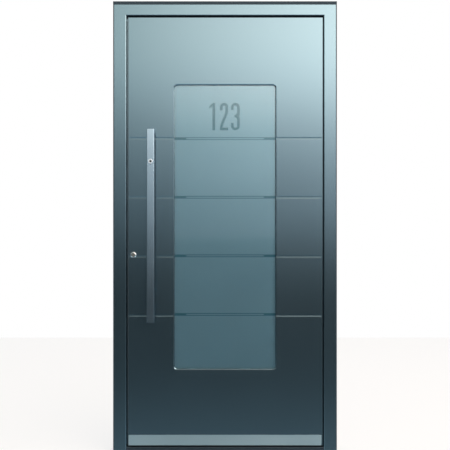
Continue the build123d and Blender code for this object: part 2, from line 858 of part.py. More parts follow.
# Lock
def lock_opening(low_u, high_u, thickness, low_z, high_z):
    half_y = thickness / 2 + fit_clearance
    return lock_side(low_u - cut_overrun, high_u + cut_overrun, lock_y - half_y, lock_y + half_y,
                     low_z - fit_clearance, high_z + fit_clearance)


def bolt_openings(low_u, high_u):
    return [
        lock_opening(low_u, high_u, latch_thickness, latch_z - latch_height / 2, latch_z + latch_height / 2),
        lock_opening(low_u, high_u, bolt_thickness, bolt_z - bolt_height / 2, bolt_z + bolt_height / 2),
    ]


def lock_faceplate():
    low = hook_lower_z - hook_case_drop - faceplate_margin
    high = hook_upper_z + hook_case_rise + faceplate_margin
    plate = lock_side(leaf_edge, case_front, groove_low, groove_high, low, high)
    for opening in bolt_openings(leaf_edge, case_front):
        plate -= opening
    for z in hook_zs:
        plate -= lock_opening(leaf_edge, case_front, hook_thickness, z - hook_sweep, z + hook_boss_radius)
    return plate


def lock_case(low, high, back):
    # A closed case with a corner left out at each end of its front, for the drive rods
    half_y = case_thickness / 2
    case = lock_side(case_front, back, lock_y - half_y, lock_y + half_y, low, high)
    inset = rod_notch_height + case_wall
    case -= lock_side(case_front + case_wall, back - case_wall, lock_y - half_y + case_wall,
                      lock_y + half_y - case_wall, low + inset, high - inset)
    for bottom in (low - cut_overrun, high - rod_notch_height):
        case -= lock_side(case_front - cut_overrun, case_front + rod_notch_depth,
                          lock_y - half_y - cut_overrun, lock_y + half_y + cut_overrun,
                          bottom, bottom + rod_notch_height + cut_overrun)
    return case


def main_lock_case():
    case = lock_case(case_low, case_high, lock_axis + case_back)
    for opening in bolt_openings(case_front, case_front + case_wall):
        case -= opening
    half_y = case_thickness / 2 + cut_overrun
    case -= slab(euro_profile(fit_clearance), lock_y - half_y, lock_y + half_y)
    return case - rod(lock_x, lever_z, spindle_hole_radius, lock_y, lock_y + half_y)


def hook_lock_case(z):
    case = lock_case(z - hook_case_drop, z + hook_case_rise, hook_pivot + hook_case_back)
    case -= lock_opening(case_front, case_front + case_wall, hook_thickness,
                         z - hook_sweep, z + hook_boss_radius)
    half_y = case_thickness / 2 - case_wall
    return case + rod(hook_pivot - half_width, z, hook_pin_radius, lock_y - half_y, lock_y + half_y)


def latch_bolt():
    half_y = latch_thickness / 2
    low = leaf_edge - latch_throw
    bolt = lock_side(low, leaf_edge + latch_tail, lock_y - half_y, lock_y + half_y,
                     latch_z - latch_height / 2, latch_z + latch_height / 2)
    tip = low - half_width
    bevel = polygon((tip, lock_y - half_y), (tip + latch_throw, lock_y - half_y), (tip, lock_y + half_y / 2))
    base = Plane((0, 0, latch_z - latch_height / 2), x_dir=(1, 0, 0), z_dir=(0, 0, 1))
    return bolt - extrude(base * bevel, latch_height, dir=(0, 0, 1))


def dead_bolt():
    half_y = bolt_thickness / 2
    low = leaf_edge + bolt_setback
    return lock_side(low, low + bolt_length, lock_y - half_y, lock_y + half_y,
                     bolt_z - bolt_height / 2, bolt_z + bolt_height / 2)


def swing_hook(z):
    # Hangs down in its case at rest, its nose towards the door's edge
    x = hook_pivot - half_width
    half = hook_arm_width / 2
    tip = z - hook_arm_length
    arm = polygon(
        (x - half, z),
        (x - half, tip + hook_nose_height),
        (x - half - hook_nose, tip + hook_nose_height),
        (x - half - hook_nose, tip + hook_nose),
        (x - half, tip),
        (x + half, tip),
        (x + half, z),
    )
    outline = arm + Pos(x, z) * Circle(hook_boss_radius)
    outline -= Pos(x, z) * Circle(hook_pin_radius + pin_clearance)
    return slab(outline, lock_y - hook_thickness / 2, lock_y + hook_thickness / 2)


def drive_rods():
    low_u = case_front + fit_clearance
    held = rod_stroke + rod_overlap
    spans = (
        (hook_lower_z + hook_case_rise - held, case_low + rod_overlap),
        (case_high - held, hook_upper_z - hook_case_drop + rod_overlap),
    )
    return [
        lock_side(low_u, low_u + rod_thickness, lock_y - rod_width / 2, lock_y + rod_width / 2, low, high)
        for low, high in spans
    ]


# Hinges
def hinge_part(z, side):
    # One knuckle and its wing: side is 1 on the frame, below, and -1 on the leaf, above
    low = z - hinge_knuckle_length if side > 0 else z + hinge_bearing_gap
    high = low + hinge_knuckle_length
    knuckle = upright(hinge_x, hinge_y, hinge_knuckle_radius, low, high)
    near = hinge_x + side * edge_gap / 2
    far = near + side * hinge_wing_width
    left, right = sorted((near, far))
    wing = block(left, right, inner_y, inner_y + hinge_wing_thickness, low, high)
    wing = fillet(wing.edges().filter_by(Axis.Y).group_by(Axis.X)[-1 if side > 0 else 0], hinge_wing_radius)
    bore = hinge_pin_radius + pin_clearance
    part = knuckle + wing
    return part - upright(hinge_x, hinge_y, bore, low - cut_overrun, high + cut_overrun)


def hinge_pin(z):
    low = z - hinge_knuckle_length
    high = z + hinge_bearing_gap + hinge_knuckle_length
    pin = upright(hinge_x, hinge_y, hinge_pin_radius, low - hinge_cap_height, high + hinge_cap_height)
    lower_cap = upright(hinge_x, hinge_y, hinge_cap_radius, low - hinge_cap_height, low)
    upper_low = high + hinge_bearing_gap
    upper_cap = upright(hinge_x, hinge_y, hinge_cap_radius, upper_low, upper_low + hinge_cap_height)
    return pin + lower_cap + upper_cap


def write(name, pieces):
    solids = []
    for piece in pieces if isinstance(pieces, list) else [pieces]:
        solids += piece.solids()
    shape = solids[0] if len(solids) == 1 else Compound(children=solids)
    shape.label = name
    export_step(shape, os.path.join("parts", name + ".step"))


os.makedirs("parts", exist_ok=True)

# Frame pieces
lock_jamb_inner = side_bar(frame_inner_section(), -1, 0)
hinge_jamb_inner = side_bar(frame_inner_section(), 1, 0)
for hole in fixing_holes(-1) + jamb_pockets():
    lock_jamb_inner -= hole
for hole in fixing_holes(1):
    hinge_jamb_inner -= hole
frame_bars = []
for bar_section in bar_sections(0, frame_inner_face, frame_outer_back, frame_inner_front):
    frame_bars += [side_bar(bar_section, -1, 0), side_bar(bar_section, 1, 0), top_bar(bar_section)]
gasket_section = stop_gasket_section()
write("lock_jamb_outer", side_bar(frame_outer_section(), -1, 0))
write("lock_jamb_inner", lock_jamb_inner)
write("hinge_jamb_outer", side_bar(frame_outer_section(), 1, 0))
write("hinge_jamb_inner", hinge_jamb_inner)
write("head_outer", top_bar(frame_outer_section()))
write("head_inner", top_bar(frame_inner_section()))
write("frame_insulating_bars", frame_bars)
write("frame_stop_gasket", [side_bar(gasket_section, -1, threshold_height),
                            side_bar(gasket_section, 1, threshold_height), top_bar(gasket_section)])
write("wall_seal_strips", wall_strips())
write("threshold_outer", threshold_outer())
write("threshold_bar", threshold_bar())
write("threshold_inner", threshold_inner())
write("main_strike", main_strike())
write("hook_strikes", [hook_strike(z) for z in hook_zs])
write("hinge_frame_parts", [hinge_part(z, 1) for z in hinge_zs])
write("hinge_pins", [hinge_pin(z) for z in hinge_zs])

# Leaf pieces
write("lock_stile_outer", lock_stile_outer())
write("lock_stile_inner", lock_stile_inner())
write("hinge_stile_outer", side_bar(leaf_outer_section(), 1, rail_low))
write("hinge_stile_inner", side_bar(leaf_inner_section(), 1, rail_low))
write("top_rail_outer", top_bar(leaf_outer_section()))
write("top_rail_inner", top_bar(leaf_inner_section()))
write("bottom_rail_outer", bottom_rail_outer())
write("bottom_rail_inner", bottom_rail_inner())
write("leaf_insulating_bars", leaf_bars())
write("outer_skin", outer_skin())
write("inner_skin", inner_skin())
write("insulation_core", insulation_core())
write("outer_pane", pane(outer_pane_front, outer_pane_thickness))
write("middle_pane", pane(middle_pane_front, middle_pane_thickness))
write("inner_pane", pane(inner_pane_front, inner_pane_thickness))
write("glass_spacers", [spacer(outer_pane_front + outer_pane_thickness),
                        spacer(middle_pane_front + middle_pane_thickness)])
write("glass_gaskets", [glass_gasket(skin_back), glass_gasket(inner_pane_back)])
write("inner_trim", inner_trim())
write("kick_plate", kick_plate())
write("bottom_seal", bottom_seal())
write("handle_bar", handle_bar())
write("handle_end_caps", [handle_cap(-1), handle_cap(1)])
write("handle_posts", [handle_post(-1), handle_post(1)])
write("scanner_bezel", scanner_bezel())
write("scanner_eye", scanner_eye())
write("status_light", status_light())
write("outer_rosette", outer_rosette())
write("inner_rosette", inner_rosette())
write("cylinder_body", cylinder_body())
write("lever_rosette", lever_rosette())
write("lock_faceplate", lock_faceplate())
write("main_lock_case", main_lock_case())
write("hook_lock_cases", [hook_lock_case(z) for z in hook_zs])
write("hinge_leaf_parts", [hinge_part(z, -1) for z in hinge_zs])

# Pieces that move in the leaf
write("lever_handle", lever_handle())
write("lever_spindle", lever_spindle())
write("latch_bolt", latch_bolt())
write("dead_bolt", dead_bolt())
write("lower_hook", swing_hook(hook_lower_z))
write("upper_hook", swing_hook(hook_upper_z))
write("drive_rods", drive_rods())
write("key_plug", key_plug())
write("thumb_turn", thumb_turn())
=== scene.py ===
import json
import math

import bmesh
import bpy
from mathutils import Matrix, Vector


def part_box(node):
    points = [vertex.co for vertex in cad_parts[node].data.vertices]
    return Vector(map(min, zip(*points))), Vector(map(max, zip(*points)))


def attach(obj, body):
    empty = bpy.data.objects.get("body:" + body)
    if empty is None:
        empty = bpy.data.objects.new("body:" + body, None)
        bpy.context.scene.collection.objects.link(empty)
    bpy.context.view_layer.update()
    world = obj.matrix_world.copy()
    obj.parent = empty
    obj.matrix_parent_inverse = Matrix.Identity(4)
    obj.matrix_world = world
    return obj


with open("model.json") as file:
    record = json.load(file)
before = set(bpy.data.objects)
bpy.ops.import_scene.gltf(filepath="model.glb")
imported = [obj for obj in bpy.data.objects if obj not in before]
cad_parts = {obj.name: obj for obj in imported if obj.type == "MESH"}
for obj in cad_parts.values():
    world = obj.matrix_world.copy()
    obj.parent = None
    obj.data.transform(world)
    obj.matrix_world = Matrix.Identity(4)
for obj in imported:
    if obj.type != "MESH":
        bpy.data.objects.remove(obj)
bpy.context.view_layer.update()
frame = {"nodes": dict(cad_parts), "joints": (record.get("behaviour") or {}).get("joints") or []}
nodes = frame["nodes"]
print("frame:", len(nodes), "nodes")


def linear(red, green, blue):  # a screen colour, 0 to 255
    steps = [c / 255 for c in (red, green, blue)]
    return tuple(((c + 0.055) / 1.055) ** 2.4 if c > 0.04 else c / 12.92 for c in steps) + (1.0,)


def addNode(tree, kind, **values):
    node = tree.nodes.new("ShaderNode" + kind)
    for label, value in values.items():
        setattr(node, label, value)
    return node


def fill(node, values):
    for label, value in values.items():
        node.inputs[label].default_value = value


def plug(tree, value, socket):  # a plain value is set, an output is linked
    if isinstance(value, (int, float, tuple)):
        socket.default_value = value
    else:
        tree.links.new(value, socket)


def mapRange(tree, source, low, high, fromLow=0.0, fromHigh=1.0):
    node = addNode(tree, "MapRange")
    fill(node, {"From Min": fromLow, "From Max": fromHigh})
    for value, label in ((source, "Value"), (low, "To Min"), (high, "To Max")):
        plug(tree, value, node.inputs[label])
    return node.outputs["Result"]


def mathNode(tree, operation, first, second):
    node = addNode(tree, "Math", operation=operation)
    for socket, value in zip(node.inputs, (first, second)):
        plug(tree, value, socket)
    return node.outputs["Value"]


def shadeColor(tree, color, factor):  # brightens or darkens a colour by a changing factor
    node = addNode(tree, "HueSaturation")
    tree.links.new(color, node.inputs["Color"])
    tree.links.new(factor, node.inputs["Value"])
    return node.outputs["Color"]


def addNoise(tree, place, values):
    node = addNode(tree, "TexNoise")
    tree.links.new(place, node.inputs["Vector"])
    fill(node, values)
    return node


def addBump(tree, shader, height, size):  # size holds the strength and the depth
    bump = addNode(tree, "Bump")
    fill(bump, {"Strength": size[0], "Distance": size[1]})
    tree.links.new(height, bump.inputs["Height"])
    tree.links.new(bump.outputs["Normal"], shader.inputs["Normal"])


# Surface grains are node groups, each with a fine pattern and a slow cloud over the whole piece
grainLook = {
    "cloudShade": (0.965, 1.035), "cloudRoughness": (0.92, 1.08),
    "flakeCloud": 2.2, "flakePeel": 420.0,
    "brushCloud": 6.0, "brushDetail": 4.0,
    "mouldCloud": 9.0, "mouldDetail": 3.0,
}
grainInputs = [("Color", "Color", (0.5, 0.5, 0.5, 1)), ("Scale", "Float", 1000.0),
               ("Contrast", "Float", 0.1), ("Roughness", "Float", 0.4)]
brushInputs = grainInputs + [("Stretch", "Vector", (1.0, 1.0, 0.01))]
grainOutputs = [("Color", "Color"), ("Roughness", "Float"), ("Height", "Float")]


def newGrain(name, inputs):
    group = bpy.data.node_groups.new(name, "ShaderNodeTree")
    newSocket = group.interface.new_socket
    for label, kind, value in inputs:
        socket = newSocket(name=label, in_out="INPUT", socket_type="NodeSocket" + kind)
        socket.default_value = value
    for label, kind in grainOutputs:
        newSocket(name=label, in_out="OUTPUT", socket_type="NodeSocket" + kind)
    source, target = group.nodes.new("NodeGroupInput"), group.nodes.new("NodeGroupOutput")
    return group, source, target, addNode(group, "TexCoord").outputs["Object"]


def finishGrain(tree, source, target, grain, cloud, height):
    contrast = source.outputs["Contrast"]
    low = mathNode(tree, "SUBTRACT", 1.0, contrast)
    high = mathNode(tree, "ADD", 1.0, contrast)
    shade = mathNode(tree, "MULTIPLY", mapRange(tree, grain, low, high),
                     mapRange(tree, cloud, *grainLook["cloudShade"]))
    color = shadeColor(tree, source.outputs["Color"], shade)
    spread = mapRange(tree, cloud, *grainLook["cloudRoughness"])
    roughness = mathNode(tree, "MULTIPLY", source.outputs["Roughness"], spread)
    for label, output in (("Color", color), ("Roughness", roughness), ("Height", height)):
        tree.links.new(output, target.inputs[label])


def makeFlakeGrain(look):  # aluminium flake in a powder coat, with a slight orange peel
    group, source, target, place = newGrain("flakeGrain", grainInputs)
    flake = addNode(group, "TexVoronoi")
    group.links.new(place, flake.inputs["Vector"])
    group.links.new(source.outputs["Scale"], flake.inputs["Scale"])
    cell = addNode(group, "SeparateColor")
    group.links.new(flake.outputs["Color"], cell.inputs["Color"])
    cloud = addNoise(group, place, {"Scale": look["flakeCloud"]})
    peel = addNoise(group, place, {"Scale": look["flakePeel"]})
    finishGrain(group, source, target, cell.outputs["Red"], cloud.outputs["Fac"],
                peel.outputs["Fac"])
    return group


def makeBrushGrain(look):  # fine straight brushing, long along the axis whose stretch is small
    group, source, target, place = newGrain("brushGrain", brushInputs)
    stretch = addNode(group, "VectorMath", operation="MULTIPLY")
    group.links.new(place, stretch.inputs[0])
    group.links.new(source.outputs["Stretch"], stretch.inputs[1])
    lines = addNoise(group, stretch.outputs["Vector"], {"Detail": look["brushDetail"]})
    group.links.new(source.outputs["Scale"], lines.inputs["Scale"])
    cloud = addNoise(group, place, {"Scale": look["brushCloud"]})
    finishGrain(group, source, target, lines.outputs["Fac"], cloud.outputs["Fac"],
                lines.outputs["Fac"])
    return group


def makeMouldGrain(look):  # the fine spark grain of moulded plastic and rubber
    group, source, target, place = newGrain("mouldGrain", grainInputs)
    spark = addNoise(group, place, {"Detail": look["mouldDetail"]})
    group.links.new(source.outputs["Scale"], spark.inputs["Scale"])
    cloud = addNoise(group, place, {"Scale": look["mouldCloud"]})
    finishGrain(group, source, target, spark.outputs["Fac"], cloud.outputs["Fac"],
                spark.outputs["Fac"])
    return group


flakeGrain = makeFlakeGrain(grainLook)
brushGrain = makeBrushGrain(grainLook)
mouldGrain = makeMouldGrain(grainLook)
print("groups: flake, brush, mould")


def newMaterial(name, look):
    material = bpy.data.materials.new(name)
    material.use_nodes = True
    tree = material.node_tree
    shader = tree.nodes["Principled BSDF"]
    fill(shader, look.get("shader", {}))
    grain = addNode(tree, "Group", node_tree=look["grain"])
    fill(grain, look["values"])
    tree.links.new(grain.outputs["Color"], shader.inputs["Base Color"])
    tree.links.new(grain.outputs["Roughness"], shader.inputs["Roughness"])
    addBump(tree, shader, grain.outputs["Height"], look["bump"])
    return material


def dress(material, *names):
    for name in names:
        mesh = nodes[name].data
        mesh.materials.clear()
        mesh.materials.append(material)


# Painted aluminium: frame, leaf and hinges
paintLook = {
    "grain": flakeGrain,
    "values": {"Color": linear(111, 136, 148), "Scale": 2600.0, "Contrast": 0.10,
               "Roughness": 0.20},
    "bump": (0.03, 0.0004),
    "shader": {"Metallic": 0.95, "Coat Weight": 0.10, "Coat Roughness": 0.10},
}
paint = newMaterial("metallicPaint", paintLook)
dress(paint, "lock_jamb_outer", "lock_jamb_inner", "hinge_jamb_outer", "hinge_jamb_inner",
      "head_outer", "head_inner", "outer_skin", "inner_skin", "lock_stile_outer",
      "lock_stile_inner", "hinge_stile_outer", "hinge_stile_inner", "top_rail_outer",
      "top_rail_inner", "bottom_rail_outer", "bottom_rail_inner", "inner_trim",
      "hinge_frame_parts", "hinge_leaf_parts", "hinge_pins")
print("paint: done")


# Metals: bar handle, kick plate, lock, cylinder and threshold
steelLooks = {
    "barSteel": {
        "grain": brushGrain,
        "values": {"Color": linear(179, 202, 217), "Scale": 900.0, "Contrast": 0.06,
                   "Roughness": 0.20, "Stretch": (1.0, 1.0, 0.006)},
        "bump": (0.015, 0.0002),
        "shader": {"Metallic": 1.0},
    },
    "kickSteel": {
        "grain": brushGrain,
        "values": {"Color": linear(178, 199, 205), "Scale": 900.0, "Contrast": 0.07,
                   "Roughness": 0.42, "Stretch": (0.006, 1.0, 1.0)},
        "bump": (0.08, 0.0002),
        "shader": {"Metallic": 1.0},
    },
    "zincSteel": {
        "grain": mouldGrain,
        "values": {"Color": linear(176, 180, 182), "Scale": 260.0, "Contrast": 0.10,
                   "Roughness": 0.36},
        "bump": (0.05, 0.0002),
        "shader": {"Metallic": 1.0},
    },
    "polishedChrome": {
        "grain": mouldGrain,
        "values": {"Color": linear(226, 229, 231), "Scale": 700.0, "Contrast": 0.02,
                   "Roughness": 0.07},
        "bump": (0.02, 0.0001),
        "shader": {"Metallic": 1.0},
    },
    "ringSilver": {
        "grain": mouldGrain,
        "values": {"Color": linear(222, 236, 246), "Scale": 700.0, "Contrast": 0.02,
                   "Roughness": 0.30},
        "bump": (0.02, 0.0001),
        "shader": {"Metallic": 0.25},
    },
    "nickelBrass": {
        "grain": brushGrain,
        "values": {"Color": linear(198, 196, 188), "Scale": 700.0, "Contrast": 0.05,
                   "Roughness": 0.24, "Stretch": (1.0, 0.05, 1.0)},
        "bump": (0.04, 0.0001),
        "shader": {"Metallic": 1.0},
    },
    "darkAnodised": {
        "grain": brushGrain,
        "values": {"Color": linear(70, 82, 92), "Scale": 800.0, "Contrast": 0.06,
                   "Roughness": 0.40, "Stretch": (0.006, 1.0, 1.0)},
        "bump": (0.06, 0.0002),
        "shader": {"Metallic": 0.9},
    },
}
steels = {name: newMaterial(name, look) for name, look in steelLooks.items()}
dress(steels["barSteel"], "handle_bar", "handle_end_caps", "handle_posts", "lever_handle",
      "lever_rosette", "inner_rosette", "thumb_turn")
dress(steels["kickSteel"], "kick_plate")
dress(steels["zincSteel"], "main_strike", "hook_strikes", "lock_faceplate", "main_lock_case",
      "hook_lock_cases", "drive_rods", "lever_spindle", "latch_bolt", "dead_bolt",
      "lower_hook", "upper_hook")
dress(steels["polishedChrome"], "outer_rosette")
dress(steels["ringSilver"], "scanner_bezel")
dress(steels["nickelBrass"], "cylinder_body", "key_plug")
dress(steels["darkAnodised"], "threshold_outer", "threshold_inner")
print("metals: done")


# Rubber, plastic and foam
softLooks = {
    "sealRubber": {
        "grain": mouldGrain,
        "values": {"Color": linear(24, 26, 27), "Scale": 900.0, "Contrast": 0.15,
                   "Roughness": 0.62},
        "bump": (0.15, 0.0003),
    },
    # painted shade: a rubber whose blue-grey colour is set to the shade deep in the leaf's gaps
    "gapShadeRubber": {
        "grain": mouldGrain,
        "values": {"Color": linear(40, 54, 63), "Scale": 900.0, "Contrast": 0.12,
                   "Roughness": 0.50},
        "bump": (0.12, 0.0003),
    },
    "wallStrip": {
        "grain": mouldGrain,
        "values": {"Color": linear(38, 58, 70), "Scale": 600.0, "Contrast": 0.14,
                   "Roughness": 0.70},
        "bump": (0.20, 0.0005),
    },
    "barPlastic": {
        "grain": mouldGrain,
        "values": {"Color": linear(34, 35, 36), "Scale": 800.0, "Contrast": 0.12,
                   "Roughness": 0.55},
        "bump": (0.12, 0.0003),
    },
    "spacerPlastic": {
        "grain": mouldGrain,
        "values": {"Color": linear(74, 78, 80), "Scale": 700.0, "Contrast": 0.10,
                   "Roughness": 0.50},
        "bump": (0.10, 0.0002),
    },
    "foam": {
        "grain": mouldGrain,
        "values": {"Color": linear(226, 219, 188), "Scale": 420.0, "Contrast": 0.16,
                   "Roughness": 0.85},
        "bump": (0.40, 0.0010),
    },
    "eyeGloss": {
        "grain": mouldGrain,
        "values": {"Color": linear(8, 8, 9), "Scale": 500.0, "Contrast": 0.20,
                   "Roughness": 0.18},
        "bump": (0.02, 0.0001),
        "shader": {"Specular IOR Level": 0.2},
    },
    "lightLens": {
        "grain": mouldGrain,
        "values": {"Color": linear(44, 62, 84), "Scale": 500.0, "Contrast": 0.10,
                   "Roughness": 0.16},
        "bump": (0.02, 0.0001),
        "shader": {"Coat Weight": 0.8, "Coat Roughness": 0.05},
    },
}
softs = {name: newMaterial(name, look) for name, look in softLooks.items()}
dress(softs["sealRubber"], "frame_stop_gasket", "glass_gaskets", "bottom_seal")
dress(softs["wallStrip"], "wall_seal_strips")
dress(softs["barPlastic"], "frame_insulating_bars", "leaf_insulating_bars", "threshold_bar")
dress(softs["spacerPlastic"], "glass_spacers")
dress(softs["foam"], "insulation_core")
dress(softs["eyeGloss"], "scanner_eye")
dress(softs["lightLens"], "status_light")
print("rubber and plastic: done")


# Glass: three clear panes, with a frosted film on the back of the outer one
glassLook = {
    "shader": {"Base Color": linear(238, 244, 246), "Roughness": 0.0, "IOR": 1.50,
               "Transmission Weight": 1.0},
    "waves": {"Scale": 5.0}, "bump": (0.004, 0.0005),  # the slight waves of float glass
}


def makeClearGlass(look):
    material = bpy.data.materials.new("clearGlass")
    material.use_nodes = True
    tree = material.node_tree
    shader = tree.nodes["Principled BSDF"]
    fill(shader, look["shader"])
    waves = addNoise(tree, addNode(tree, "TexCoord").outputs["Object"], look["waves"])
    addBump(tree, shader, waves.outputs["Fac"], look["bump"])
    return material


satinLooks = {
    "frostedGlass": {
        "grain": mouldGrain,
        "values": {"Color": linear(144, 183, 198), "Scale": 1300.0, "Contrast": 0.05,
                   "Roughness": 0.36},
        "bump": (0.06, 0.0002),
        "shader": {"Metallic": 0.75},
    },
    # painted light: the film's back is lighter and duller than its front, to brighten a side that
    # gets little light through the panes
    "brightenedFrostedBack": {
        "grain": mouldGrain,
        "values": {"Color": linear(190, 208, 214), "Scale": 1300.0, "Contrast": 0.05,
                   "Roughness": 0.45},
        "bump": (0.06, 0.0002),
    },
    # painted shade: this satin glass is darker than the frosted film, standing for the dim inside
    # seen through the clear cuts
    "shadedSatinGlass": {
        "grain": mouldGrain,
        "values": {"Color": linear(78, 132, 147), "Scale": 900.0, "Contrast": 0.05,
                   "Roughness": 0.30},
        "bump": (0.03, 0.0002),
        "shader": {"Metallic": 0.45},
    },
}
clearGlass = makeClearGlass(glassLook)
satins = {name: newMaterial(name, look) for name, look in satinLooks.items()}
dress(clearGlass, "outer_pane", "middle_pane", "inner_pane")


def ring(low, high, bottom, top):
    return [(low, bottom), (high, bottom), (high, top), (low, top)]


def arc(x, z, radius, start, end, steps=18):
    angles = [math.radians(start + (end - start) * i / steps) for i in range(steps + 1)]
    return [(x + radius * math.cos(a), z + radius * math.sin(a)) for a in angles]


def strokeLoop(path, half, sharpest=0.4):  # the outline of a pen stroke, square at both ends
    points = [Vector(p) for p in path]
    left, right = [], []
    for i, point in enumerate(points):
        into = (point - points[i - 1]).normalized() if i else (points[1] - point).normalized()
        out = (points[i + 1] - point).normalized() if i + 1 < len(points) else into
        sideIn, sideOut = Vector((-into.y, into.x)), Vector((-out.y, out.x))
        miter = (sideIn + sideOut).normalized()
        reach = half / max(miter.dot(sideIn), sharpest)
        left.append(tuple(point + miter * reach))
        right.append(tuple(point - miter * reach))
    return left + right[::-1]


# The number cut in the film; shares are of a digit's width and height, or of its stroke
numberLook = {
    "base": 1.5795, "height": 0.1350, "stroke": 0.0130,
    "one": {"left": -0.0777, "width": 0.029,
            "slope": 0.15, "flagTop": 0.88, "flagFoot": 0.79, "flagRoot": 0.865},
    "two": {"left": -0.0250, "width": 0.040,
            "tip": 0.73, "shoulder": 0.70, "bend": (0.06, 0.60), "ankle": (0.30, 0.26),
            "heel": (1.15, 0.15)},
    "three": {"left": 0.0295, "width": 0.0433,
              "upperTip": 0.74, "lowerTip": 0.27, "waist": 0.52, "notch": (0.10, 0.075),
              "tongue": 0.40, "fork": (1.5, 1.1)},
}


def digitOne(look):
    base, height, stroke = look["base"], look["height"], look["stroke"]
    one = look["one"]
    low, high = one["left"], one["left"] + one["width"]
    edge, top = high - stroke, base + height
    return [(edge, base), (high, base), (high, top), (edge + stroke * one["slope"], top),
            (low, base + height * one["flagTop"]), (low, base + height * one["flagFoot"]),
            (edge, base + height * one["flagRoot"])]


def digitTwo(look):
    base, height, half = look["base"], look["height"], look["stroke"] / 2
    two = look["two"]
    low, width = two["left"], two["width"]
    bow, high = width / 2 - half, low + width - half
    path = [(low + half, base + height * two["tip"])]
    path += arc(low + width / 2, base + height - half - bow, bow, 180, 0)
    path += [(high, base + height * two["shoulder"]),
             (high - width * two["bend"][0], base + height * two["bend"][1]),
             (low + width * two["ankle"][0], base + height * two["ankle"][1]),
             (low + half * two["heel"][0], base + height * two["heel"][1]),
             (low + half, base + half), (low + width, base + half)]
    return strokeLoop(path, half)


def digitThree(look):
    base, height, stroke = look["base"], look["height"], look["stroke"]
    three = look["three"]
    low, width = three["left"], three["width"]
    high, middle, bow = low + width, low + width / 2, width / 2
    inner, waist = bow - stroke, base + height * three["waist"]
    top, bottom = base + height - bow, base + bow
    upper, lower = base + height * three["upperTip"], base + height * three["lowerTip"]
    notchIn, notchHalf = width * three["notch"][0], height * three["notch"][1]
    forkIn, forkHalf = stroke * three["fork"][0], stroke * three["fork"][1]
    tongue = low + width * three["tongue"]
    loop = [(low, upper)] + arc(middle, top, bow, 180, 0)
    loop += [(high, waist + notchHalf), (high - notchIn, waist), (high, waist - notchHalf)]
    loop += arc(middle, bottom, bow, 0, -180) + [(low, lower), (low + stroke, lower)]
    loop += arc(middle, bottom, inner, -180, 0)
    loop += [(high - stroke, waist - forkHalf), (high - forkIn, waist - stroke / 2),
             (tongue, waist - stroke / 2), (tongue, waist + stroke / 2),
             (high - forkIn, waist + stroke / 2), (high - stroke, waist + forkHalf)]
    return loop + arc(middle, top, inner, 0, 180) + [(low + stroke, upper)]


def flatPiece(name, loops, lowY, highY):  # a sheet with holes, seen from outside: X across, Z up
    curve = bpy.data.curves.new(name, "CURVE")
    curve.dimensions = "2D"
    curve.fill_mode = "BOTH"
    curve.extrude = (highY - lowY) / 2
    for loop in loops:
        spline = curve.splines.new("POLY")
        spline.points.add(len(loop) - 1)
        spline.use_cyclic_u = True
        for point, (x, z) in zip(spline.points, loop):
            point.co = (x, z, 0, 1)
    drawn = bpy.data.objects.new(name + "Curve", curve)
    bpy.context.scene.collection.objects.link(drawn)
    drawn.rotation_euler = (math.pi / 2, 0, 0)
    drawn.location = (0, (lowY + highY) / 2, 0)
    bpy.context.view_layer.update()
    filled = drawn.evaluated_get(bpy.context.evaluated_depsgraph_get())
    mesh = bpy.data.meshes.new_from_object(filled)
    mesh.transform(drawn.matrix_world)
    bpy.data.objects.remove(drawn)
    piece = bpy.data.objects.new(name, mesh)
    bpy.context.scene.collection.objects.link(piece)
    return piece


def fitPiece(piece, material, body):
    piece.data.materials.clear()
    piece.data.materials.append(material)
    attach(piece, body)


frostFilm = {
    "inset": 0.0130, "lineInset": 0.0140,  # from the pane's edge, clear of the spacer
    "gap": 0.0001, "thickness": 0.0003,
    "sheetGap": 0.0001, "sheetThickness": 0.0003,  # the satin sheet that shows through the clear cuts, darker as painted shade for the dim inside
    "pitch": 0.2888, "lines": 4, "lift": 0.0020,  # the clear lines carry on the skin's V-lines
    "lineHalf": 0.0066, "barHalf": 0.0027, "barReach": 0.191,  # a frosted bar inside each line
}


def makeFrostFilm(size):
    paneLow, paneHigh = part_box("outer_pane")
    inset, lineInset = size["inset"], size["lineInset"]
    whole = ring(paneLow.x + inset, paneHigh.x - inset, paneLow.z + inset, paneHigh.z - inset)
    middle = (paneLow.z + paneHigh.z) / 2 + size["lift"]
    loops = [whole]
    for i in range(size["lines"]):
        z = middle + size["pitch"] * (i - (size["lines"] - 1) / 2)
        loops.append(ring(paneLow.x + lineInset, paneHigh.x - lineInset,
                          z - size["lineHalf"], z + size["lineHalf"]))
        loops.append(ring(-size["barReach"], size["barReach"],
                          z - size["barHalf"], z + size["barHalf"]))
    loops += [digitOne(numberLook), digitTwo(numberLook), digitThree(numberLook)]
    front = paneHigh.y + size["gap"]
    film = flatPiece("frostFilm", loops, front, front + size["thickness"])
    behind = front + size["thickness"] + size["sheetGap"]
    sheet = flatPiece("clearSheet", [whole], behind, behind + size["sheetThickness"])
    back = behind + size["sheetThickness"] + size["sheetGap"]
    backFilm = flatPiece("frostBack", loops, back, back + size["thickness"])  # seen from indoors, with the brightened colour as painted light
    fitPiece(film, satins["frostedGlass"], "leaf")
    fitPiece(sheet, satins["shadedSatinGlass"], "leaf")
    fitPiece(backFilm, satins["brightenedFrostedBack"], "leaf")


makeFrostFilm(frostFilm)
print("glass: done")


gapSealAndShade = {"thickness": 0.0018, "lift": 0.0001, "underJamb": 0.0015, "clearOfSkin": 0.0005}


